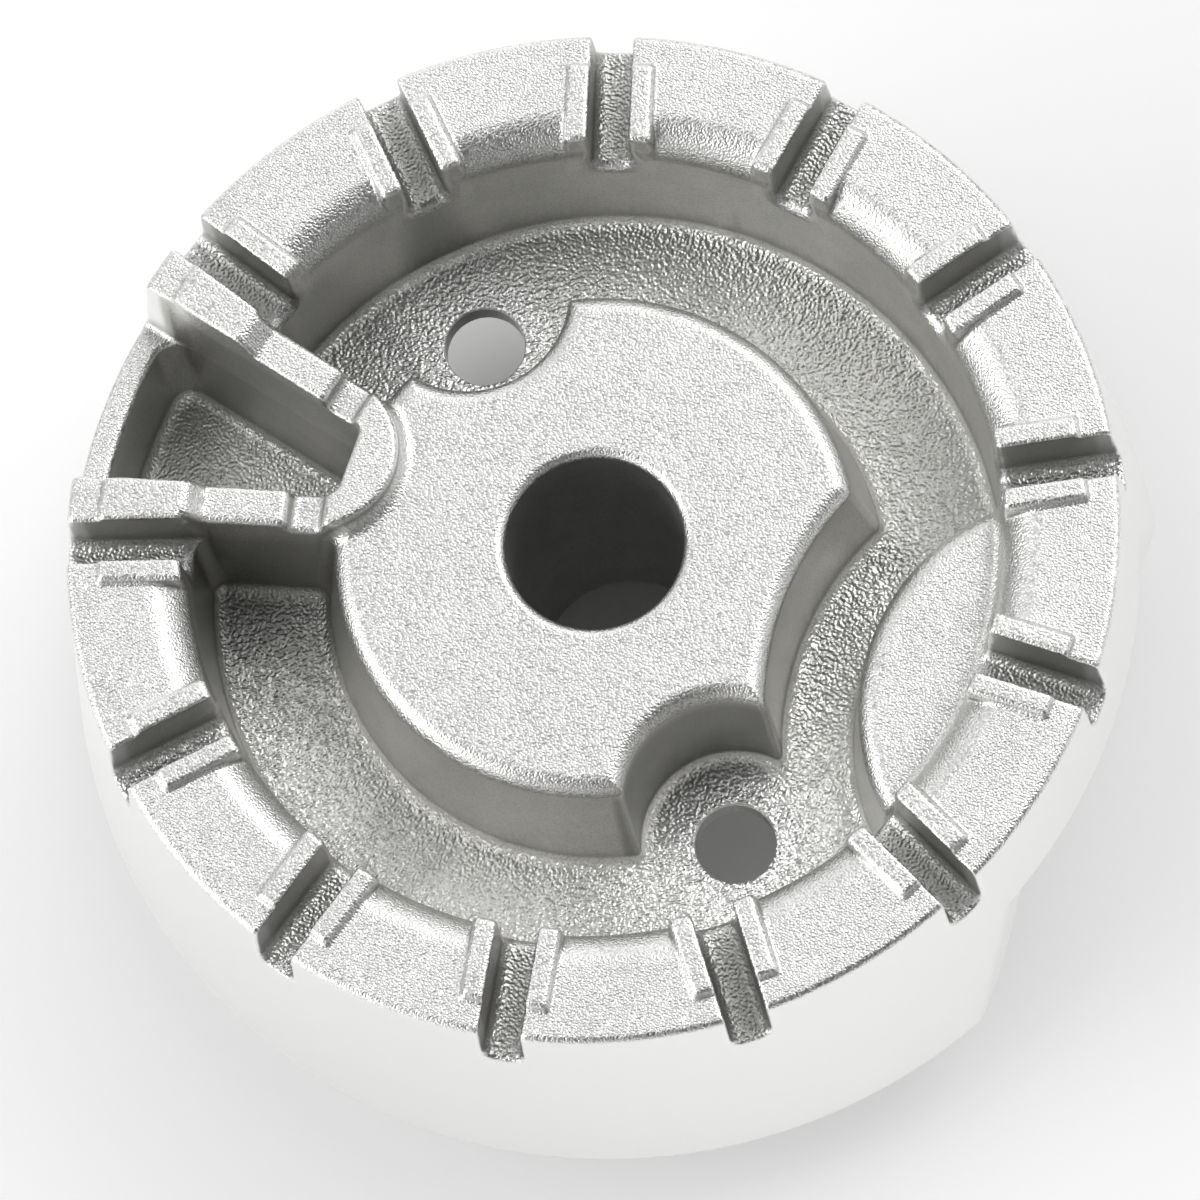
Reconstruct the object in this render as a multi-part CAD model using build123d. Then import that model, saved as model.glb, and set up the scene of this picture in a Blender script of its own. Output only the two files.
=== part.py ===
from build123d import *
import math
import os

# Skirt and rim, in millimetres, with z = 0 at the seat of the skirt
land_height = 22.0
rim_radius = 35.0
skirt_flare = 2.2
rim_edge_radius = 0.4
wall = 2.2

# Gas chamber inside the rim
chamber_radius = 27.2
chamber_depth = 13.4
chamber_draft = 2.3
floor_thickness = 2.0
floor_fillet = 0.9
island_fillet = 0.8
lip_radius = 2.7

# Flame slots, each between two low ribs that carry the cap
slot_count = 13
slot_pitch = 26.8
slot_width = 2.8
slot_depth = 4.4
slot_corner_radius = 0.9
rib_width = 1.5
rib_height = 0.5
rib_setback = 2.2

# Raised middle with the mixture bore and its tube
plateau_radius = 17.3
plateau_drop = 2.2
plateau_draft = 8.0
plateau_edge_radius = 1.2
bore_diameter = 11.9
bore_edge_radius = 0.7
tube_wall = 2.2
tube_reach = 8.0

# Two fixing screws through the chamber floor
screw_circle_diameter = 39.4
screw_hole_diameter = 5.4
screw_bearing = 135.0
screw_clear_radius = 6.7

# Recess for the flame sensor, on the side away from the pocket
sensor_distance = 34.3
bulge_radius = 15.0
bulge_drop = 4.6
bulge_draft = 6.0
bulge_edge_radius = 1.2
bulge_channel = 6.1
notch_depth = 4.8
notch_height = 13.0
notch_draft = 4.0

# Walls of the ignition pocket, centred on the -X side
pocket_half_angle = 14.7
pocket_tip_distance = 19.6
pocket_tip_radius = 5.5
pocket_wall_drop = 0.7
pocket_rise_run = 1.2
pocket_saddle_drop = 1.9
pocket_saddle_start = 18.3
pocket_saddle_end = 20.2

# Hollow of the ignition pocket, open over a low curb in the rim
pocket_wall = 2.45
pocket_tip_wall = 3.05
pocket_depth = 15.0
pocket_draft = 4.0
pocket_corner_radius = 1.8
pocket_floor_fillet = 0.9
pocket_curb_drop = 7.0
pocket_curb_thickness = 1.8

# Room that cutters run past what they cut, the part of it that a rounding cutter stands proud by,
# and the nearness that picks out an edge
over = 1.0
proud = 0.01
nearness = 0.001

# Levels and radii worked out from the sizes above
land = land_height
seat_radius = rim_radius + skirt_flare
rib_outer_radius = rim_radius - rib_setback
notch_flat = seat_radius - notch_depth
rib_top = land + rib_height
floor_top = land - chamber_depth
floor_under = floor_top - floor_thickness
plateau_top = land - plateau_drop
bulge_top = land - bulge_drop
slot_floor = land - slot_depth
groove_roof = slot_floor - wall
tube_foot = -tube_reach
pocket_top = land - pocket_wall_drop
saddle_top = land - pocket_saddle_drop
curb_top = land - pocket_curb_drop
pocket_floor = land - pocket_depth
pocket_under = pocket_floor - floor_thickness
bore_radius = bore_diameter / 2
tube_radius = bore_radius + tube_wall


def slant(height, draft):
    """Sideways run of a drafted wall over a height."""
    return height * math.tan(math.radians(draft))


def skirt_radius(z):
    """Outside radius of the flared skirt at a height."""
    return seat_radius - (seat_radius - rim_radius) * z / land


def chamber_wall_radius(z):
    """Radius of the chamber's drafted outer wall at a height."""
    return chamber_radius - slant(land - z, chamber_draft)


def polar(radius, bearing):
    """Point at a radius and a bearing about the axis."""
    turn = math.radians(bearing)
    return (radius * math.cos(turn), radius * math.sin(turn))


def mirrored(point):
    """The same point on the other side of the X axis."""
    return (point[0], -point[1])


def turned(*points):
    """Solid turned about Z from a closed section of (radius, height) points."""
    return revolve(Plane.XZ * make_face(Polyline(*points, close=True)), Axis.Z)


def upright(radius, bottom, top):
    """Round bar about Z between two heights."""
    return Pos(Z=bottom) * Cylinder(radius, top - bottom, align=(Align.CENTER, Align.CENTER, Align.MIN))


def tapered(radius, level, bottom, top, draft):
    """Round block about Z with a radius at a level, growing by the draft on its way down."""
    foot_radius = radius + slant(level - bottom, draft)
    top_radius = radius - slant(top - level, draft)
    block = Cone(foot_radius, top_radius, top - bottom, align=(Align.CENTER, Align.CENTER, Align.MIN))
    return Pos(Z=bottom) * block


def slot_bearings():
    """Bearings of the flame slots, even about +X."""
    middle = (slot_count - 1) / 2
    return [(place - middle) * slot_pitch for place in range(slot_count)]


def screw_places():
    """Centres of the two fixing screws, across the axis from each other."""
    radius = screw_circle_diameter / 2
    return [polar(radius, screw_bearing), polar(radius, screw_bearing + 180)]


def make_cup():
    """Skirt, rim and chamber floor, with the rib's height still running all the way round."""
    floor_corner = (chamber_wall_radius(floor_top), floor_top)
    rim_corner = (rim_radius, land)
    section = make_face(
        Polyline(
            (0, floor_under),
            (0, floor_top),
            floor_corner,
            (chamber_wall_radius(rib_top), rib_top),
            (rib_outer_radius, rib_top),
            (rib_outer_radius, land),
            rim_corner,
            (seat_radius, 0),
            (seat_radius - wall, 0),
            (skirt_radius(groove_roof) - wall, groove_roof),
            (chamber_wall_radius(groove_roof) + wall, groove_roof),
            (chamber_wall_radius(floor_under) + wall, floor_under),
            close=True,
        )
    )
    section = fillet(section.vertices().sort_by_distance(floor_corner)[0], floor_fillet)
    section = fillet(section.vertices().sort_by_distance(rim_corner)[0], rim_edge_radius)
    return revolve(Plane.XZ * section, Axis.Z)


def scallop(radius, bottom, top):
    """Round cutter for the side of the raised middle, flared to leave a rounded edge at the top."""
    edge = plateau_edge_radius
    flare_radius = radius + edge * math.tan(math.radians(90 - chamber_draft) / 2)
    flare = CenterArc((flare_radius, top - edge + proud), edge, 90, 90 - chamber_draft)
    foot_radius = radius - slant(top - bottom, chamber_draft)
    corners = [(flare_radius, top + over), (0, top + over), (0, bottom), (foot_radius, bottom)]
    rest = Polyline(flare @ 0, *corners, flare @ 1)
    return revolve(Plane.XZ * make_face([flare, rest]), Axis.Z)


def plateau_form(inset, bottom, top):
    """Round middle with a scallop at each screw and at the bulge, drawn in by an inset."""
    form = tapered(plateau_radius - inset, plateau_top, bottom, top, plateau_draft)
    form = fillet(form.faces().sort_by(Axis.Z)[-1].edges(), plateau_edge_radius)
    below = bottom - over
    screw_scallop = scallop(screw_clear_radius + inset, below, top)
    for place in screw_places():
        form -= Pos(*place) * screw_scallop
    bulge_clear_radius = bulge_radius + bulge_channel + inset
    return form - Pos(X=sensor_distance) * scallop(bulge_clear_radius, below, top)


def make_plateau():
    """Raised middle with its rounded top edge."""
    return plateau_form(0, floor_under, plateau_top)


def make_plateau_core():
    """Hollow under the raised middle, left a wall thick and clear of the pocket."""
    bottom = floor_under - over
    pocket_clear = extrude(Pos(Z=bottom) * offset(pocket_outline(), wall / 2), amount=land)
    return plateau_form(wall, bottom, plateau_top - wall) - pocket_clear


def make_tube():
    """Mixture tube that reaches below the seat."""
    return upright(tube_radius, tube_foot, plateau_top - wall / 2)


def make_bulge():
    """Cover of the sensor recess, standing on the chamber floor against the rim."""
    block = tapered(bulge_radius, bulge_top, floor_under, bulge_top, bulge_draft)
    block = fillet(block.faces().sort_by(Axis.Z)[-1].edges(), bulge_edge_radius)
    return Pos(X=sensor_distance) * block & upright(chamber_radius + wall / 2, 0, land)


def make_sensor_recess():
    """Hollow under the bulge, open at the seat."""
    roof = bulge_top - wall
    recess = tapered(bulge_radius - wall, roof, -over, roof, bulge_draft)
    return Pos(X=sensor_distance) * recess & upright(skirt_radius(groove_roof) - wall, -over, land)


def make_notch():
    """Flat cut through the skirt in front of the sensor."""
    foot_x = notch_flat - slant(over, notch_draft)
    top_x = notch_flat + slant(notch_height, notch_draft)
    far_x = seat_radius + over
    corners = [(foot_x, -over), (top_x, notch_height), (far_x, notch_height), (far_x, -over)]
    section = make_face(Polyline(*corners, close=True))
    return extrude(Plane.XZ * section, amount=seat_radius, both=True)


def pocket_side(offset, reach):
    """Point on the pocket's +Y side, an offset inside its outer face, a reach out from the tip's centre."""
    turn = math.radians(pocket_half_angle)
    radius = pocket_tip_radius - offset
    x = -pocket_tip_distance + radius * math.sin(turn) - reach * math.cos(turn)
    y = radius * math.cos(turn) + reach * math.sin(turn)
    return (x, y)


def pocket_outline():
    """Outside of the pocket's walls in plan: a wedge closed by a round tip."""
    near = pocket_side(0, 0)
    far = pocket_side(0, seat_radius)
    tip = ThreePointArc(near, (pocket_tip_radius - pocket_tip_distance, 0), mirrored(near))
    sides = Polyline(mirrored(near), mirrored(far), far, near)
    return make_face([tip, sides])


def make_pocket_walls():
    """Pocket as a solid block: level with the ribs at the rim, then lower, with a saddle before the tip."""
    outline = pocket_outline()
    block = extrude(Pos(Z=pocket_top) * outline, amount=pocket_under - pocket_top, taper=-chamber_draft)
    block &= turned(
        (0, pocket_under),
        (skirt_radius(pocket_under) - wall / 2, pocket_under),
        (rim_radius - wall / 2, land),
        (0, land),
    )
    block -= turned(
        (pocket_saddle_start, saddle_top),
        (pocket_saddle_end, saddle_top),
        (pocket_saddle_end, land),
        (pocket_saddle_start, land),
    )
    rise = turned(
        (chamber_radius - pocket_rise_run, pocket_top),
        (chamber_radius - pocket_rise_run, pocket_top - over),
        (chamber_radius + wall, pocket_top - over),
        (chamber_radius + wall, rib_top),
        (chamber_radius, rib_top),
    )
    return block + (rise & extrude(outline, amount=2 * land))


def pocket_wedge(inset, far_x):
    """Inside of the pocket in plan, drawn in by an inset, out to a distance on the -X side."""
    near_x = pocket_tip_distance - pocket_tip_radius + pocket_tip_wall + inset
    side = pocket_side(pocket_wall + inset, 0)
    near_half = side[1] + slant(side[0] + near_x, pocket_half_angle)
    far_half = side[1] + slant(side[0] + far_x, pocket_half_angle)
    corners = [(-near_x, near_half), (-far_x, far_half), (-far_x, -far_half), (-near_x, -near_half)]
    return make_face(Polyline(*corners, close=True))


def make_pocket_hollow():
    """Deep hollow of the pocket and its way out over the curb."""
    top = rib_top + over
    spread = slant(top - land, pocket_draft)
    wedge = pocket_wedge(-spread, seat_radius + 2 * over)
    mouth = extrude(Pos(Z=top) * wedge, amount=curb_top - top, taper=pocket_draft)
    curb_spread = slant(top - curb_top, pocket_draft)
    curb_radius = skirt_radius(curb_top) - pocket_curb_thickness
    pit = wedge & Circle(curb_radius + curb_spread)
    pit = fillet(pit.vertices().sort_by(Axis.X)[:2], pocket_corner_radius + curb_spread)
    pit = extrude(Pos(Z=top) * pit, amount=pocket_floor - top, taper=pocket_draft)
    pit = fillet(pit.faces().sort_by(Axis.Z)[0].edges(), pocket_floor_fillet)
    return pit + mouth


def make_land_gaps():
    """Space above the land between the ribs, with the lip rolled into the chamber."""
    lip_foot = land - lip_radius
    lip_start = chamber_wall_radius(lip_foot)
    lip_end = lip_start + lip_radius
    lip = CenterArc((lip_end, lip_foot), lip_radius, 90, 90)
    rest = Polyline(
        (lip_end, land),
        (rib_outer_radius, land),
        (rib_outer_radius, rib_top + over),
        (lip_start - over, rib_top + over),
        (lip_start - over, lip_foot),
        (lip_start, lip_foot),
    )
    gaps = revolve(Plane.XZ * make_face([lip, rest]), Axis.Z)
    pad_start = lip_start - 2 * over
    pad_size = (rib_outer_radius + over - pad_start, slot_width + 2 * rib_width, 2 * (rib_top + 2 * over))
    pad = Pos(X=pad_start) * Box(*pad_size, align=(Align.MIN, Align.CENTER, Align.CENTER))
    for bearing in slot_bearings():
        gaps -= Rot(0, 0, bearing) * pad
    ends = [polar(2 * seat_radius, bearing) for bearing in slot_bearings()]
    pocket_sector = make_face(Polyline((0, 0), ends[-1], ends[0], close=True))
    return gaps - extrude(pocket_sector, amount=2 * land)


def make_slot():
    """Cutter for the flame slot on +X, round in its lower corners."""
    height = rib_top + over - slot_floor
    section = Pos(0, slot_floor + height / 2) * Rectangle(slot_width, height)
    section = fillet(section.vertices().group_by(Axis.Y)[0], slot_corner_radius)
    start = chamber_radius - over
    return Pos(X=start) * extrude(Plane.YZ * section, amount=seat_radius + over - start)


def round_edges(head, level, radius):
    """Circular edges of a radius that lie at a level."""
    circles = head.edges().filter_by(GeomType.CIRCLE)
    level_circles = circles.filter_by(lambda edge: abs(edge.arc_center.Z - level) < nearness)
    return level_circles.filter_by(lambda edge: abs(edge.radius - radius) < nearness)


def make_head():
    """The whole casting."""
    head = make_cup() + make_plateau()
    head += make_bulge()
    head += make_pocket_walls()
    bulge_foot_radius = bulge_radius + slant(bulge_top - floor_top, bulge_draft)
    tip_foot_radius = pocket_tip_radius + slant(pocket_top - plateau_top, chamber_draft)
    bulge_foot = round_edges(head, floor_top, bulge_foot_radius)
    tip_foot = round_edges(head, plateau_top, tip_foot_radius)
    head = fillet(bulge_foot + tip_foot, island_fillet)
    head -= make_plateau_core()
    head -= make_sensor_recess()
    head += make_tube()
    head -= make_notch()
    head -= make_pocket_hollow()
    head -= make_land_gaps()
    slot = make_slot()
    for bearing in slot_bearings():
        head -= Rot(0, 0, bearing) * slot
    for place in screw_places():
        head -= Pos(*place) * upright(screw_hole_diameter / 2, 0, land)
    head -= upright(bore_radius, tube_foot - over, land)
    return fillet(round_edges(head, plateau_top, bore_radius), bore_edge_radius)


os.makedirs("parts", exist_ok=True)
export_step(make_head(), "parts/burner_head.step")
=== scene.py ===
import math

import bpy
import numpy as np
from mathutils import Matrix, Vector


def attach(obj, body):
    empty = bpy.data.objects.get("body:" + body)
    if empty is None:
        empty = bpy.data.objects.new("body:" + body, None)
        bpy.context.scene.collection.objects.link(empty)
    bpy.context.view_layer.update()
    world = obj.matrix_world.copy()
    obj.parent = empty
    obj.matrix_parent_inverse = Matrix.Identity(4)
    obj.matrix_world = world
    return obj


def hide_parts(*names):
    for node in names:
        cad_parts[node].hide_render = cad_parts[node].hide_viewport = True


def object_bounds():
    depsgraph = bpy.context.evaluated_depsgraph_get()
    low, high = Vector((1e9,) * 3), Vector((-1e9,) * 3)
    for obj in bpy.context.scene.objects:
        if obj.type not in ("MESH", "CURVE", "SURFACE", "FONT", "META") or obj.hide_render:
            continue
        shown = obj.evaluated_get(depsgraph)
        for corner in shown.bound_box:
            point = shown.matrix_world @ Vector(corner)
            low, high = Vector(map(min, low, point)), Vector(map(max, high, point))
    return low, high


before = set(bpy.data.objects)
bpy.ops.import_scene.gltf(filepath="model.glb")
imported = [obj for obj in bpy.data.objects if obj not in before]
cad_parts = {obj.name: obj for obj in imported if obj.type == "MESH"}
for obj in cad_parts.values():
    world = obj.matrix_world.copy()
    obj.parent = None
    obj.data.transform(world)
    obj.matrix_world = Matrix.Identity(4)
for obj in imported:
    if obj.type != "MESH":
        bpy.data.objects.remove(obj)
cad_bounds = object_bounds()

# Sizes are in millimetres and angles in degrees, with z = 0 at the seat of the skirt.
# An edge is a rounding of metal, and a corner or a fillet is one of a hollow.
MM = 0.001
METRE = 1000.0

# Flared skirt, rim and the gas chamber inside it
LAND = 22.0
RIM_R = 35.0
SEAT_R = 37.2
FLARE = (SEAT_R - RIM_R) / LAND
WALL = 2.2
CHAMBER_R = 27.2
CHAMBER_FLOOR = 8.6
CHAMBER_CORNER = 0.9
DRAFT = 2.3
LIP_R = 2.7
RIM_EDGE = 0.45
SEAT_EDGE = 0.25

# Underside of the floor, groove behind the chamber's wall and hollows under what stands up
FLOOR_UNDER = 6.6
UNDER_CORNER = 0.5
GROOVE_ROOF = 15.4
HOLLOW_CORNER = 0.8
HOLLOW_EDGE = 0.3

# Flame slots, rolled over into the chamber
SLOT_PITCH = 26.8
SLOT_LAST = 6
SLOT_HALF = 1.4
SLOT_FLOOR = 17.6
SLOT_START = 26.0
SLOT_CORNER = 0.9
SLOT_EDGE = 0.25
ROLL_EDGE = 0.6
ROLL_END = 29.0
ROLL_TOP = 20.5
ROLL_FADE = 1.5
ROLL_CLEAR = 0.4

# Low ribs on both sides of each slot
RIB_HALF = 2.9
RIB_TOP = 22.5
RIB_OUT = 32.8
RIB_SETBACK = 0.12
RIB_LEAN = 0.35
RIB_FOOT = 0.45
RIB_EDGE = 0.25
RIB_SIDE_EDGE = 0.3
RIB_END_EDGE = 0.4
RIB_FILLET = 0.2

# Plateau round the bore, and the tube below it
PLATEAU_R = 17.3
PLATEAU_TOP = 19.8
PLATEAU_DRAFT = 8.0
PLATEAU_FILLET = 0.9
TOP_EDGE = 1.2
SUNK = 1.0
BORE_R = 5.95
BORE_EDGE = 0.7
TUBE_R = 8.15
TUBE_FOOT = -8.0
TUBE_EDGE = 0.3
TUBE_FILLET = 0.6

# Screw holes, with scallops in the plateau for the screws' heads
SCREW_XY = 13.930
SCREWS = [(-SCREW_XY, SCREW_XY), (SCREW_XY, -SCREW_XY)]
SCREW_R = 2.7
SCREW_EDGE = 0.2
SCREW_CLEAR = 6.7
SCALLOP_EDGE = 0.35

# Bulge over the flame sensor, the channel round it and the notch in the skirt
SENSOR_X = 34.3
BULGE_R = 15.0
BULGE_TOP = 17.4
BULGE_DRAFT = 6.0
BULGE_FILLET = 0.8
CHANNEL = 6.1
NOTCH_X = 32.4
NOTCH_TOP = 13.0
NOTCH_DRAFT = 4.0
NOTCH_CORNER = 0.4
NOTCH_EDGE = 0.3

# Walls of the ignition pocket, which spread from a round tip on the -X side
P_ANGLE = 14.7
P_TIP_X = 19.6
P_TIP_R = 5.5
P_TOP = 21.3
P_UNDER = 5.0
P_EDGE = 0.4
P_FILLET = 1.0
SADDLE_TOP = 20.1
SADDLE_IN = 18.3
SADDLE_OUT = 20.2
SADDLE_SLOPE = 0.3
RISE_R = 26.0
RISE_OUT = 31.0
RISE_FOOT = 19.0

# Hollow of the ignition pocket, open over a low curb in the rim
P_WALL = 2.45
P_TIP_WALL = 3.05
P_TIP_CORNER = 0.5
P_FLOOR = 7.0
P_FLOOR_CORNER = 0.9
P_DRAFT = 4.0
P_CORNER = 1.8
P_MOUTH_EDGE = 0.28
CURB_TOP = 15.0
CURB_R = 33.9
CURB_EDGE = 0.4
CURB_EDGE_R = 31.5
CURB_FADE = 1.5
CREASE = 0.01


# The casting's form, as signed distances that are below zero in the metal
def join(a, b, r):
    u = np.maximum(r - a, 0)
    v = np.maximum(r - b, 0)
    return np.maximum(r, np.minimum(a, b)) - np.sqrt(u * u + v * v)


def meet(a, b, r):
    u = np.maximum(r + a, 0)
    v = np.maximum(r + b, 0)
    return np.minimum(-r, np.maximum(a, b)) + np.sqrt(u * u + v * v)


def cut(a, b, r):
    return meet(a, -b, r)


def cone(d, z, radius, level, draft):
    """A drafted wall, at a radius on one level and wider below it."""
    t = math.radians(draft)
    return (d - radius - (level - z) * math.tan(t)) * math.cos(t)


def fade(value, length):
    return np.clip(value / length, 0, 1)


def pocket_outline(x, ay):
    """The outside of the pocket's walls in plan."""
    t = math.radians(P_ANGLE)
    sin, cos = math.sin(t), math.cos(t)
    near_x, near_y = -P_TIP_X + P_TIP_R * sin, P_TIP_R * cos
    along = -(x - near_x) * cos + (ay - near_y) * sin
    side = (x - near_x) * sin + (ay - near_y) * cos
    tip = np.sqrt((x + P_TIP_X) ** 2 + ay * ay) - P_TIP_R
    return np.where(along > 0, side, tip)


def slot_axes(x, y):
    """Places along the nearest flame slot and across it."""
    bearing = np.degrees(np.arctan2(y, x))
    turn = np.radians(np.clip(np.round(bearing / SLOT_PITCH), -SLOT_LAST, SLOT_LAST) * SLOT_PITCH)
    c, s = np.cos(turn), np.sin(turn)
    return x * c + y * s, np.abs(y * c - x * s)


def cup(r, z, skirt, chamber):
    """Skirt, rim and chamber, hollow from below."""
    body = meet(meet(skirt, z - LAND, RIM_EDGE), -z, SEAT_EDGE)
    body = cut(body, chamber, LIP_R)
    inside = skirt + WALL
    body = cut(body, meet(inside, z - FLOOR_UNDER, UNDER_CORNER), SEAT_EDGE)
    chamber_back = -cone(r, z, CHAMBER_R + WALL, LAND, -DRAFT)
    groove = meet(meet(inside, chamber_back, HOLLOW_CORNER), z - GROOVE_ROOF, HOLLOW_CORNER)
    return cut(body, groove, SEAT_EDGE)


def add_middle(body, r, z, screws, sensor, outline):
    """Plateau and bulge, the hollows under them, and the tube."""
    plateau = cone(r, z, PLATEAU_R, PLATEAU_TOP, PLATEAU_DRAFT)
    core = cone(r, z, PLATEAU_R - WALL, PLATEAU_TOP, PLATEAU_DRAFT)
    for d, clear in [(s, SCREW_CLEAR) for s in screws] + [(sensor, BULGE_R + CHANNEL)]:
        plateau = cut(plateau, cone(d, z, clear, PLATEAU_TOP, -DRAFT), SCALLOP_EDGE)
        core = cut(core, cone(d, z, clear + WALL, PLATEAU_TOP, -DRAFT), UNDER_CORNER)
    plateau = np.maximum(meet(plateau, z - PLATEAU_TOP, TOP_EDGE), FLOOR_UNDER + SUNK - z)
    body = join(body, plateau, PLATEAU_FILLET)
    bulge = meet(cone(sensor, z, BULGE_R, BULGE_TOP, BULGE_DRAFT), z - BULGE_TOP, TOP_EDGE)
    bulge = np.maximum(np.maximum(bulge, FLOOR_UNDER + SUNK - z), r - CHAMBER_R - WALL / 2)
    body = join(body, bulge, BULGE_FILLET)
    core = np.maximum(core, WALL / 2 - outline)
    body = cut(body, meet(core, z - PLATEAU_TOP + WALL, HOLLOW_CORNER), HOLLOW_EDGE)
    recess = cone(sensor, z, BULGE_R - WALL, BULGE_TOP - WALL, BULGE_DRAFT)
    recess = meet(recess, z - BULGE_TOP + WALL, HOLLOW_CORNER)
    recess = np.maximum(recess, r - (RIM_R + (LAND - GROOVE_ROOF) * FLARE - WALL))
    body = cut(body, recess, HOLLOW_EDGE)
    tube = np.maximum(meet(r - TUBE_R, TUBE_FOOT - z, TUBE_EDGE), z - PLATEAU_TOP + WALL / 2)
    return join(body, tube, TUBE_FILLET)


def add_pocket_walls(body, r, z, drafted, skirt):
    wall = meet(drafted, z - P_TOP, P_EDGE)
    saddle = np.maximum(SADDLE_IN - r, r - SADDLE_OUT) - SADDLE_SLOPE * (z - SADDLE_TOP)
    wall = cut(wall, meet(saddle, SADDLE_TOP - z, P_EDGE), P_EDGE)
    wall = np.maximum(meet(wall, P_UNDER - z, P_EDGE), skirt + WALL / 2)
    return join(body, wall, P_FILLET)


def add_ribs(body, x, ay, z, r, u, v, chamber, drafted):
    """Ribs, the raised sector beside the pocket and the high end of the pocket's walls."""
    lean = RIB_LEAN * np.clip(RIB_TOP - RIB_EDGE - z, -RIB_EDGE, RIB_FOOT)
    rib = meet(meet(v - RIB_HALF - lean, u - RIB_OUT - lean, RIB_SIDE_EDGE), z - RIB_TOP, RIB_EDGE)
    last = math.radians(SLOT_LAST * SLOT_PITCH)
    sector = x * math.sin(last) - ay * math.cos(last)
    raised = meet(meet(sector, r - RIB_OUT - lean, RIB_SIDE_EDGE), z - RIB_TOP, RIB_EDGE)
    pads = np.maximum(np.minimum(rib, raised), SLOT_FLOOR - z)
    body = join(body, cut(pads, chamber - RIB_SETBACK, RIB_END_EDGE), RIB_FILLET)
    block = meet(drafted, ((z - P_TOP) - (r - RISE_R)) * math.sqrt(0.5), P_EDGE)
    block = np.maximum(meet(block, z - RIB_TOP, RIB_SIDE_EDGE), r - RISE_OUT)
    return np.minimum(body, np.maximum(block, RISE_FOOT - z))


def cut_slots(body, z, u, v, sensor, outline):
    slot = np.maximum(meet(v - SLOT_HALF, SLOT_FLOOR - z, SLOT_CORNER), SLOT_START - u)
    clear = np.clip(np.minimum(outline, sensor - BULGE_R) - ROLL_CLEAR, 0, 1)
    roll = ROLL_EDGE * clear * fade(ROLL_END - u, ROLL_FADE) * fade(ROLL_TOP - z, ROLL_FADE)
    return cut(body, slot, SLOT_EDGE + roll)


def cut_pocket(body, x, ay, z, r):
    t = math.radians(P_ANGLE)
    sin, cos = math.sin(t), math.cos(t)
    lean = math.tan(math.radians(P_DRAFT))
    in_r = P_TIP_R - P_WALL
    wedge = (x + P_TIP_X - in_r * sin) * sin + (ay - in_r * cos) * cos + (LAND - z) * lean
    tip = x + P_TIP_X - P_TIP_R + P_TIP_WALL + (LAND - z) * lean
    wedge = meet(wedge, tip, P_TIP_CORNER)
    pit = meet(wedge, r - CURB_R + (CURB_TOP - z) * lean, P_CORNER)
    pit = meet(pit, P_FLOOR - z, P_FLOOR_CORNER)
    mouth = meet(wedge, CURB_TOP - z, P_EDGE)
    curb_edge = CREASE + CURB_EDGE * fade(r - CURB_EDGE_R, CURB_FADE)
    return cut(body, join(pit, mouth, curb_edge), P_MOUTH_EDGE)


def casting(x, y, z):
    """About the distance from places to the casting's surface, below zero in the metal."""
    r = np.sqrt(x * x + y * y)
    ay = np.abs(y)
    sensor = np.sqrt((x - SENSOR_X) ** 2 + y * y)
    screws = [np.sqrt((x - px) ** 2 + (y - py) ** 2) for px, py in SCREWS]
    outline = pocket_outline(x, ay)
    drafted = cone(outline, z, 0.0, P_TOP, DRAFT)
    u, v = slot_axes(x, y)
    skirt = cone(r, z, RIM_R, LAND, math.degrees(math.atan(FLARE)))
    chamber = meet(cone(r, z, CHAMBER_R, LAND, -DRAFT), CHAMBER_FLOOR - z, CHAMBER_CORNER)
    body = cup(r, z, skirt, chamber)
    body = add_middle(body, r, z, screws, sensor, outline)
    body = add_pocket_walls(body, r, z, drafted, skirt)
    body = add_ribs(body, x, ay, z, r, u, v, chamber, drafted)
    body = cut_slots(body, z, u, v, sensor, outline)
    body = cut_pocket(body, x, ay, z, r)
    notch = NOTCH_X + z * math.tan(math.radians(NOTCH_DRAFT)) - x
    body = cut(body, meet(notch, z - NOTCH_TOP, NOTCH_CORNER), NOTCH_EDGE)
    for s in screws:
        body = cut(body, s - SCREW_R, SCREW_EDGE)
    return cut(body, r - BORE_R, BORE_EDGE)


# From the form to a mesh
STEP = 0.23
GRID_SIDE = 37.6
GRID_FOOT = -8.4
GRID_FINE = 21.0
GRID_TOP = 22.8
BLOCK = 4
BLOCK_REACH = 1.3
PULL = 0.08
REFINE = 2
COVER_HEIGHTS = (1, 2.5, 5, 8, 12)
COVER_DEPTH = 0.2
HIDDEN_TRIANGLES = 36000
TRIANGLES = 190000
SHUT_REACH = (2.0, 3.0)


def slope(p, e=0.02):
    """Unit slope of the form at points, which is the surface's normal there."""
    g = np.empty_like(p)
    for a in range(3):
        q = p.copy()
        q[:, a] += e
        up = casting(*q.T)
        q[:, a] -= 2 * e
        g[:, a] = up - casting(*q.T)
    return g / np.maximum(np.linalg.norm(g, axis=1, keepdims=True), 1e-9)


def bend(p, e=0.3):
    """How the surface bends at points, per millimetre: above zero on edges, below zero in fillets."""
    total = -6 * casting(*p.T)
    for a in range(3):
        for way in (-e, e):
            q = p.copy()
            q[:, a] += way
            total += casting(*q.T)
    return total / (e * e)


def shut(p, n):
    """How far other metal closes points in, from 0 in the open to 1."""
    return 1 - np.mean([np.clip(casting(*(p + n * d).T) / d, 0, 1) for d in SHUT_REACH], axis=0)


def spread(low, high, step):
    """Even places from low to high, about a step apart."""
    return np.linspace(low, high, int(round((high - low) / step)) + 1, dtype=np.float32)


def middles(places):
    """Middles of the blocks of places along an axis."""
    return np.array([places[i:i + BLOCK].mean() for i in range(0, len(places), BLOCK)], np.float32)


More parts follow.
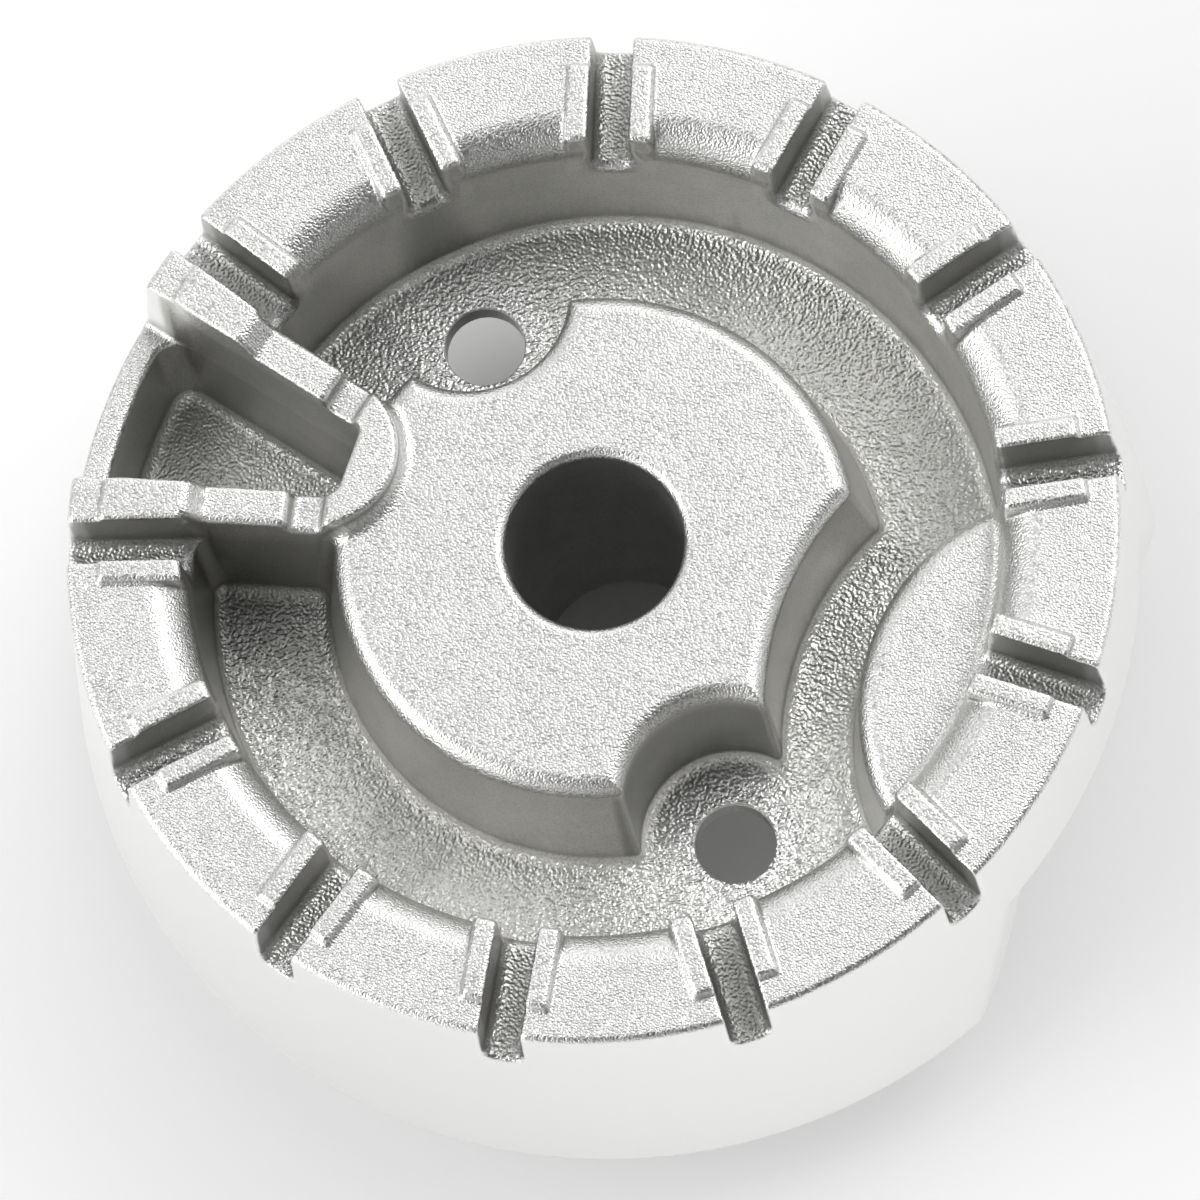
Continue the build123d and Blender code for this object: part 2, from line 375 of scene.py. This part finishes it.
def sample(axes):
    """The form on a grid of places, worked out in full only in the blocks near its surface."""
    reach = BLOCK_REACH * BLOCK * max(np.diff(places).max() for places in axes)
    gx, gy = np.meshgrid(axes[0], axes[1], indexing="ij")
    mx, my = np.meshgrid(middles(axes[0]), middles(axes[1]), indexing="ij")
    levels = middles(axes[2])
    rows, columns = (np.arange(len(places)) // BLOCK for places in axes[:2])
    grid = np.empty([len(places) for places in axes], np.float32)
    for k, level in enumerate(axes[2]):
        if k % BLOCK == 0:
            rough = casting(mx, my, levels[k // BLOCK])[rows][:, columns]
            near = np.abs(rough) < reach
        grid[:, :, k] = rough
        grid[:, :, k][near] = casting(gx[near], gy[near], level)
    return grid


def crossings(axes, grid, a):
    """Points where the surface crosses the grid's lines along an axis, with the normals there, the
    four cells round each point and whether the surface faces back along the axis."""
    b, c = (a + 1) % 3, (a + 2) % 3
    inside = grid < 0
    near = [slice(None)] * 3
    far = [slice(None)] * 3
    near[a], far[a] = slice(0, -1), slice(1, None)
    at = np.argwhere(inside[tuple(near)] != inside[tuple(far)])
    step = np.eye(3, dtype=int)[a]
    f0, f1 = grid[tuple(at.T)], grid[tuple((at + step).T)]
    p0 = np.stack([axes[i][at[:, i]] for i in range(3)], 1)
    p1 = np.stack([axes[i][at[:, i] + step[i]] for i in range(3)], 1)
    p = p0 + (f0 / (f0 - f1))[:, None] * (p1 - p0)
    for _ in range(REFINE):
        fm = casting(*p.T)
        same = np.sign(fm) == np.sign(f0)
        p0, f0 = np.where(same[:, None], p, p0), np.where(same, fm, f0)
        p1, f1 = np.where(same[:, None], p1, p), np.where(same, f1, fm)
        share = f0 / np.where(f0 == f1, 1, f0 - f1)
        p = p0 + np.clip(share, 0, 1)[:, None] * (p1 - p0)
    around = [at.copy() for _ in range(4)]
    around[0][:, [b, c]] -= 1
    around[1][:, c] -= 1
    around[3][:, b] -= 1
    return p, slope(p), around, ~inside[tuple(at.T)]


def contour(axes):
    """Quads of the form's surface on a grid of places along X, Y and Z, with sharp corners kept."""
    grid = sample(axes)
    found = [crossings(axes, grid, a) for a in range(3)]
    index = np.full([len(places) - 1 for places in axes], -1, np.int32)
    for _, _, around, _ in found:
        for cell in around:
            index[tuple(cell.T)] = 0
    active = np.argwhere(index == 0)
    index[tuple(active.T)] = np.arange(len(active))
    # Sums over each cell's crossings: products of the normals, normals by distance, points, count
    total = np.zeros((len(active), 13))
    faces = []
    for p, n, around, flip in found:
        d = (n * p).sum(1)
        x, y, z = n.T
        terms = [x * x, y * y, z * z, x * y, x * z, y * z, x * d, y * d, z * d, *p.T, np.ones(len(p))]
        rows = [index[tuple(cell.T)] for cell in around]
        for row in rows:
            for k, term in enumerate(terms):
                total[:, k] += np.bincount(row, term, len(active))
        quad = np.stack(rows, 1)
        quad[flip] = quad[flip][:, ::-1]
        faces.append(quad)
    # Each cell's point lies near the planes through its crossings, and inside the cell
    mean = total[:, 9:12] / total[:, 12:]
    planes = total[:, [0, 3, 4, 3, 1, 5, 4, 5, 2]].reshape(-1, 3, 3)
    rest = total[:, 6:9] - np.einsum("nij,nj->ni", planes, mean)
    points = mean + np.linalg.solve(planes + PULL * np.eye(3), rest[:, :, None])[:, :, 0]
    low = np.stack([axes[i][active[:, i]] for i in range(3)], 1)
    high = np.stack([axes[i][active[:, i] + 1] for i in range(3)], 1)
    points = np.clip(points, low, high).astype(np.float32)
    for _ in range(REFINE):
        points -= casting(*points.T)[:, None] * slope(points)
    return points, np.concatenate(faces)


def new_mesh(name, points, faces):
    mesh = bpy.data.meshes.new(name)
    mesh.vertices.add(len(points))
    mesh.vertices.foreach_set("co", np.ascontiguousarray(points, np.float32).ravel())
    mesh.loops.add(faces.size)
    mesh.loops.foreach_set("vertex_index", np.ascontiguousarray(faces, np.int32).ravel())
    mesh.polygons.add(len(faces))
    mesh.polygons.foreach_set("loop_start", np.arange(len(faces), dtype=np.int32) * faces.shape[1])
    mesh.update(calc_edges=True)
    mesh.validate()
    return mesh


def thin_out(points, faces):
    """A mesh of fewer triangles, of which the surface under other metal takes only a small part."""
    dense = bpy.data.objects.new("dense", new_mesh("dense", points * MM, faces))
    bpy.context.scene.collection.objects.link(dense)
    x, y, z = points.T
    below = np.min([casting(x, y, z + up) for up in COVER_HEIGHTS], axis=0) < -COVER_DEPTH
    count = 2 * len(faces)
    open_count = count - 2 * below[faces].all(1).sum()
    steps = (
        ("below", below, min(count, open_count + HIDDEN_TRIANGLES)),
        ("above", ~below, TRIANGLES),
    )
    for name, chosen, target in steps:
        dense.vertex_groups.new(name=name).add(np.flatnonzero(chosen).tolist(), 1.0, "REPLACE")
        thin = dense.modifiers.new(name, "DECIMATE")
        thin.ratio = min(1.0, target / count)
        thin.vertex_group = name
        thin.use_collapse_triangulate = True
        count = min(count, target)
    depsgraph = bpy.context.evaluated_depsgraph_get()
    mesh = bpy.data.meshes.new_from_object(dense.evaluated_get(depsgraph))
    mesh.name = "casting"
    bpy.data.objects.remove(dense)
    return mesh


def make_head():
    step = STEP
    side = spread(-GRID_SIDE, GRID_SIDE, step)
    rise = np.concatenate([
        spread(GRID_FOOT, GRID_FINE, step)[:-1],
        spread(GRID_FINE, GRID_TOP, step / 2),
    ])
    points, faces = contour((side, side, rise))
    low, high = (np.array(corner) * METRE for corner in cad_bounds)
    mesh = thin_out(np.clip(points, low, high), faces)
    p = np.empty(len(mesh.vertices) * 3, np.float32)
    mesh.vertices.foreach_get("co", p)
    p = np.clip(p.reshape(-1, 3) * METRE, low, high).astype(np.float32)
    mesh.vertices.foreach_set("co", (p * MM).ravel())
    mesh.shade_smooth()
    n = slope(p)
    mesh.normals_split_custom_set_from_vertices(n)
    for name, values in (("bend", bend(p)), ("shut", shut(p, n))):
        attribute = mesh.attributes.new(name, "FLOAT", "POINT")
        attribute.data.foreach_set("value", values.astype(np.float32))
    head = bpy.data.objects.new("casting", mesh)
    bpy.context.scene.collection.objects.link(head)
    return head


# Materials
class Graph:
    """Shorthands for the nodes of a material or the world."""

    def __init__(self, owner):
        owner.use_nodes = True
        self.tree = owner.node_tree
        self.tree.nodes.clear()

    def add(self, kind, settings=None, **inputs):
        """A new node, with inputs by name, _ for a blank, or by place as i0, i1 and so on."""
        n = self.tree.nodes.new(kind)
        for key, value in (settings or {}).items():
            setattr(n, key, value)
        for key, value in inputs.items():
            by_place = key[0] == "i" and key[1:].isdigit()
            self.put(n.inputs[int(key[1:]) if by_place else key.replace("_", " ")], value)
        return n

    def put(self, socket, value):
        if isinstance(value, bpy.types.NodeSocket):
            self.tree.links.new(value, socket)
        elif isinstance(value, bpy.types.Node):
            self.tree.links.new(value.outputs[0], socket)
        else:
            socket.default_value = value

    def math(self, op, a, b=0.0, c=0.0):
        return self.add("ShaderNodeMath", {"operation": op}, i0=a, i1=b, i2=c).outputs[0]

    def product(self, first, *others):
        for other in others:
            first = self.math("MULTIPLY", first, other)
        return first

    def length(self, a, b):
        return self.math("SQRT", self.math("ADD", self.product(a, a), self.product(b, b)))

    def scaled(self, vector, by):
        n = self.add("ShaderNodeVectorMath", {"operation": "SCALE"}, Vector=vector, Scale=by)
        return n.outputs[0]

    def band(self, value, low, high, a=0.0, b=1.0):
        """A smooth step from a, where the value is low, to b, where it is high."""
        n = self.add("ShaderNodeMapRange", {"interpolation_type": "SMOOTHSTEP"}, Value=value)
        for key, number in (("From Min", low), ("From Max", high), ("To Min", a), ("To Max", b)):
            n.inputs[key].default_value = number
        return n.outputs[0]

    def mix(self, share, a, b):
        return self.add("ShaderNodeMix", {"data_type": "FLOAT"}, i0=share, i2=a, i3=b).outputs[0]

    def tint(self, share, a, b):
        return self.add("ShaderNodeMix", {"data_type": "RGBA"}, i0=share, i6=a, i7=b).outputs[2]

    def noise(self, where, scale, detail, rough=0.5):
        n = self.add("ShaderNodeTexNoise", Vector=where, Scale=scale, Detail=detail, Roughness=rough)
        return n.outputs[0]

    def attribute(self, name):
        return self.add("ShaderNodeAttribute", {"attribute_name": name}).outputs["Fac"]


# Zones of the casting's surface. A zone is where all its bands hold. A band names a coordinate, then
# the value where it starts and the value where it is full.
STEEP = ("flat", 0.5, 0.15)
LEVEL = ("facing", 0.6, 0.9)
ZONES = {
    "steep": [STEEP],
    "low": [("z", 9.7, 9.0), LEVEL],
    "pocket": [("aside", 0.28, 0.22), ("x", -17.0, -18.5), ("z", 20.6, 19.4), ("r", 34.4, 33.0)],
    "ends": [("aside", 0.85, 0.4), ("x", -14.0, -18.0), ("z", 20.6, 17.0), ("r", 28.5, 27.0)],
    "slots": [("z", 20.0, 18.4), ("z", 16.4, 17.2), LEVEL, ("r", 27.2, 28.0)],
    "lip": [("z", 19.0, 19.8), ("facing", 0.97, 0.85), ("r", 26.5, 27.2), ("r", 31.0, 30.0)],
    "scallop": [("screw", 58.0, 50.0), ("diagonal", 0.0, 1.0), STEEP, ("z", 19.6, 17.5)],
    "outside": [("r", 33.6, 34.2), STEEP],
    "bore": [("r", 6.7, 6.1), STEEP],
    "fillet": [("bend", -0.35, -0.95)],
    "edge": [("bend", 0.5, 1.8)],
}

# Tones of the metal, the darker ones of walls, bore and slot floors partly painted shade and the
# lighter fillets and edges painted highlights; then how much darker the grain's specks and blotches
# are, and the painted shade of some zones
TOP_TONE = (0.92, 0.92, 0.905, 1)
WALL_TONE_AND_SHADE = (0.66, 0.655, 0.625, 1)
FLOOR_TONE = (0.97, 0.97, 0.95, 1)
SLOT_PAINTED_SHADE_TONE = (0.76, 0.76, 0.74, 1)
SKIRT_TONE = (0.92, 0.92, 0.91, 1)
BORE_TONE_AND_SHADE = (0.66, 0.66, 0.65, 1)
EDGE_HIGHLIGHT_TONE = (0.97, 0.97, 0.96, 1)
FILLET_HIGHLIGHT_SHARE = 0.2
EDGE_HIGHLIGHT_SHARE = 0.4
SPECK_SHADE = 0.82
BLOTCH_SHADE = 0.94
SCALLOP_PAINTED_SHADE = 0.6
POCKET_PAINTED_SHADE = 0.80
ENDS_PAINTED_SHADE = 0.72
SHUT_PAINTED_SHADE = 0.62

# Grain of the blasted skin: scales per millimetre, depths in metres and shares of the skin's depth
FINE = 7.0
COARSE = 4.6
BLOTCH = 0.35
SKIN_DEPTH = 0.0001
FLOOR_DEPTH = 0.00016
SLOT_DEPTH = 0.00011
TOP_GRAIN = 0.45
LIP_GRAIN = 0.65
WALL_GRAIN = 0.22
SKIRT_GRAIN = 0.03
TOP_ROUGH = 0.36
WALL_ROUGH = 0.40
GRAIN_ROUGH = 0.25


def surface_zones(g, where, normal):
    x, y, z = g.add("ShaderNodeSeparateXYZ", Vector=where).outputs
    facing = g.add("ShaderNodeSeparateXYZ", Vector=normal).outputs[2]
    ax, ay = g.math("ABSOLUTE", x), g.math("ABSOLUTE", y)
    past_x, past_y = g.math("SUBTRACT", ax, SCREW_XY), g.math("SUBTRACT", ay, SCREW_XY)
    coordinates = {
        "x": x,
        "z": z,
        "r": g.length(x, y),
        "facing": facing,
        "flat": g.math("ABSOLUTE", facing),
        "aside": g.math("DIVIDE", ay, g.math("MAXIMUM", g.math("MULTIPLY", x, -1.0), 1.0)),
        "screw": g.math("ADD", g.product(past_x, past_x), g.product(past_y, past_y)),
        "diagonal": g.math("LESS_THAN", g.product(x, y), 0.0),
        "bend": g.attribute("bend"),
    }
    return {
        name: g.product(*(g.band(coordinates[key], start, full) for key, start, full in bands))
        for name, bands in ZONES.items()
    }


def cast_metal():
    material = bpy.data.materials.new("cast_aluminium")
    g = Graph(material)
    place = g.add("ShaderNodeTexCoord")
    where = g.scaled(place.outputs["Object"], METRE)
    zone = surface_zones(g, where, place.outputs["Normal"])
    # Grain, coarser on the floors, faint on the drafted walls and nearly gone from the skirt
    fine = g.noise(where, FINE, 0.0)
    coarse = g.noise(where, COARSE, 0.0)
    rugged = g.math("MAXIMUM", zone["low"], zone["slots"])
    shallow = g.mix(zone["steep"], g.mix(zone["lip"], TOP_GRAIN, LIP_GRAIN), WALL_GRAIN)
    shallow = g.mix(zone["outside"], shallow, SKIRT_GRAIN)
    shallow = g.product(shallow, g.math("MULTIPLY_ADD", rugged, -SKIN_DEPTH, SKIN_DEPTH))
    deep = g.product(rugged, g.mix(zone["slots"], FLOOR_DEPTH, SLOT_DEPTH))
    bump = g.add("ShaderNodeBump", Height=coarse, Strength=1.0, Distance=deep)
    bump = g.add("ShaderNodeBump", Height=fine, Strength=1.0, Distance=shallow, Normal=bump)
    # Brightness: the grain's specks and blotches, and painted shade in the scallops, the pocket, near
    # its ends and where other metal closes the surface in
    specks = g.mix(g.band(fine, 0.36, 0.50), SPECK_SHADE, 1.0)
    blotches = g.band(g.noise(where, BLOTCH, 1.0, 0.6), 0.3, 0.7, BLOTCH_SHADE, 1.0)
    bright = g.mix(zone["outside"], g.product(specks, blotches), 1.0)
    bright = g.product(
        bright,
        # painted shade: the scallops' walls are darkened
        g.mix(zone["scallop"], 1.0, SCALLOP_PAINTED_SHADE),
        # painted shade inside the ignition pocket and near its ends
        g.mix(zone["pocket"], g.mix(zone["ends"], 1.0, ENDS_PAINTED_SHADE), POCKET_PAINTED_SHADE),
        # painted shade where other metal closes the surface in, like ambient occlusion
        g.band(g.attribute("shut"), 0.25, 0.8, 1.0, SHUT_PAINTED_SHADE),
    )
    # Colour, partly painted shade on steep walls, the slot floors and the bore, and painted highlights
    # on fillets and edges
    # steep walls and the bore get a darker tone: partly the smoother die skin, partly painted shade
    tone = g.tint(zone["steep"], TOP_TONE, WALL_TONE_AND_SHADE)
    tone = g.tint(zone["low"], tone, FLOOR_TONE)
    # painted shade: the slots' floors are darker
    tone = g.tint(zone["slots"], tone, SLOT_PAINTED_SHADE_TONE)
    tone = g.tint(zone["outside"], tone, SKIRT_TONE)
    tone = g.tint(zone["bore"], tone, BORE_TONE_AND_SHADE)
    # painted highlight: fillets are lightened toward the floor's tone
    tone = g.tint(g.product(zone["fillet"], FILLET_HIGHLIGHT_SHARE), tone, FLOOR_TONE)
    # painted highlight: convex edges are lightened
    tone = g.tint(g.product(zone["edge"], EDGE_HIGHLIGHT_SHARE), tone, EDGE_HIGHLIGHT_TONE)
    rough = g.product(g.math("SUBTRACT", fine, 0.5), GRAIN_ROUGH)
    rough = g.math("ADD", g.mix(zone["steep"], TOP_ROUGH, WALL_ROUGH), rough)
    shader = g.add("ShaderNodeBsdfPrincipled", Base_Color=g.scaled(tone, bright), Roughness=rough,
                   Normal=bump, Metallic=1.0)
    g.add("ShaderNodeOutputMaterial", Surface=shader)
    return material


# Camera, with its focus and the middle of the rim in pixels of a square picture
ELEVATION = math.radians(71.62)
ROLL = math.radians(-16.50)
TURN = math.radians(35.28)
PICTURE = 1200
FOCUS = 10348.0
CENTRE = (590.88, 531.21)
SENSOR = 36.0
DISTANCE = 0.683725


def camera_axes():
    e, c, s = ELEVATION, math.cos(ROLL), math.sin(ROLL)
    right = Vector((1, 0, 0))
    up = Vector((0, math.sin(e), math.cos(e)))
    ahead = Vector((0, math.cos(e), -math.sin(e)))
    turn = Matrix.Rotation(TURN, 3, "Z")
    return turn @ (c * right + s * up), turn @ (c * up - s * right), turn @ ahead


def make_camera():
    right, up, ahead = camera_axes()
    data = bpy.data.cameras.new("camera")
    data.sensor_width = SENSOR
    data.lens = FOCUS / PICTURE * SENSOR
    camera = bpy.data.objects.new("camera", data)
    aside, below = ((pixel - PICTURE / 2) / FOCUS * DISTANCE for pixel in CENTRE)
    at = Vector((0, 0, LAND * MM)) - right * aside + up * below - ahead * DISTANCE
    camera.matrix_world = Matrix.Translation(at) @ Matrix((right, up, -ahead)).transposed().to_4x4()
    bpy.context.scene.collection.objects.link(camera)
    bpy.context.scene.camera = camera


# Ground, in metres: it glows to a pale background; the glow is left out under the middle of the casting
# as a painted shadow
GROUND_HALF = 3.0
GROUND_TONES = (0.60, 0.60, 0.60, 1), (0.63, 0.63, 0.63, 1)
GROUND_CLOUD = 9.0
GROUND_ROUGH = 0.8
GLOW = 0.39
GLOW_START_R = 0.016
GLOW_FULL_R = 0.032


def make_floor():
    mesh = bpy.data.meshes.new("floor")
    s, z = GROUND_HALF, TUBE_FOOT * MM
    mesh.from_pydata([(-s, -s, z), (s, -s, z), (s, s, z), (-s, s, z)], [], [(0, 1, 2, 3)])
    floor = bpy.data.objects.new("floor", mesh)
    bpy.context.scene.collection.objects.link(floor)
    material = bpy.data.materials.new("pale_floor")
    g = Graph(material)
    where = g.add("ShaderNodeTexCoord").outputs["Object"]
    shade = g.tint(g.noise(where, GROUND_CLOUD, 2.0), *GROUND_TONES)
    x, y, _ = g.add("ShaderNodeSeparateXYZ", Vector=where).outputs
    ray = g.add("ShaderNodeLightPath").outputs
    seen = g.math("MAXIMUM", ray["Is Camera Ray"], ray["Is Glossy Ray"])
    seen = g.math("MAXIMUM", seen, ray["Is Transmission Ray"])
    # painted shadow: no glow near the axis, under the casting
    glow = g.product(seen, g.band(g.length(x, y), GLOW_START_R, GLOW_FULL_R, 0.0, GLOW))
    shader = g.add("ShaderNodeBsdfPrincipled", Base_Color=shade, Roughness=GROUND_ROUGH,
                   Emission_Color=(1, 1, 1, 1), Emission_Strength=glow)
    g.add("ShaderNodeOutputMaterial", Surface=shader)
    material.cycles.emission_sampling = "NONE"
    mesh.materials.append(material)


# Soft lights of the studio's sky: height and bearing in degrees, clockwise from straight away from
# the camera, then sharpness and strength
SKY = [
    (52, 45, 20, 3.6), (52, 20, 20, 1.3), (52, 272, 20, 2.1), (32, 252, 20, 3.2), (32, 70, 20, 0.8),
    (12, 228, 8, 1.2), (12, 340, 8, 1.5), (12, 95, 8, 0.6), (14, 180, 8, 0.3),
]


def make_world():
    world = bpy.data.worlds.new("studio")
    bpy.context.scene.world = world
    g = Graph(world)
    look = g.add("ShaderNodeTexCoord").outputs["Generated"]
    across, _, _ = camera_axes()
    across = Vector((across.x, across.y, 0)).normalized()
    away = Vector((-across.y, across.x, 0))
    glow = 0.0
    for height, bearing, sharp, strength in SKY:
        h, b = math.radians(height), math.radians(bearing)
        toward = (away * math.cos(b) + across * math.sin(b)) * math.cos(h) + Vector((0, 0, math.sin(h)))
        near = g.add("ShaderNodeVectorMath", {"operation": "DOT_PRODUCT"}, i0=look, i1=toward)
        fall = g.math("EXPONENT", g.product(g.math("SUBTRACT", near.outputs[1], 1.0), sharp))
        glow = g.math("MULTIPLY_ADD", fall, strength, glow)
    back = g.add("ShaderNodeBackground", Color=(1, 1, 1, 1), Strength=glow)
    g.add("ShaderNodeOutputWorld", Surface=back)


head = make_head()
head.data.materials.append(cast_metal())
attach(head, "root")
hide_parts("burner_head")

make_world()
make_floor()
make_camera()
scene = bpy.context.scene
scene.view_settings.view_transform = "Standard"
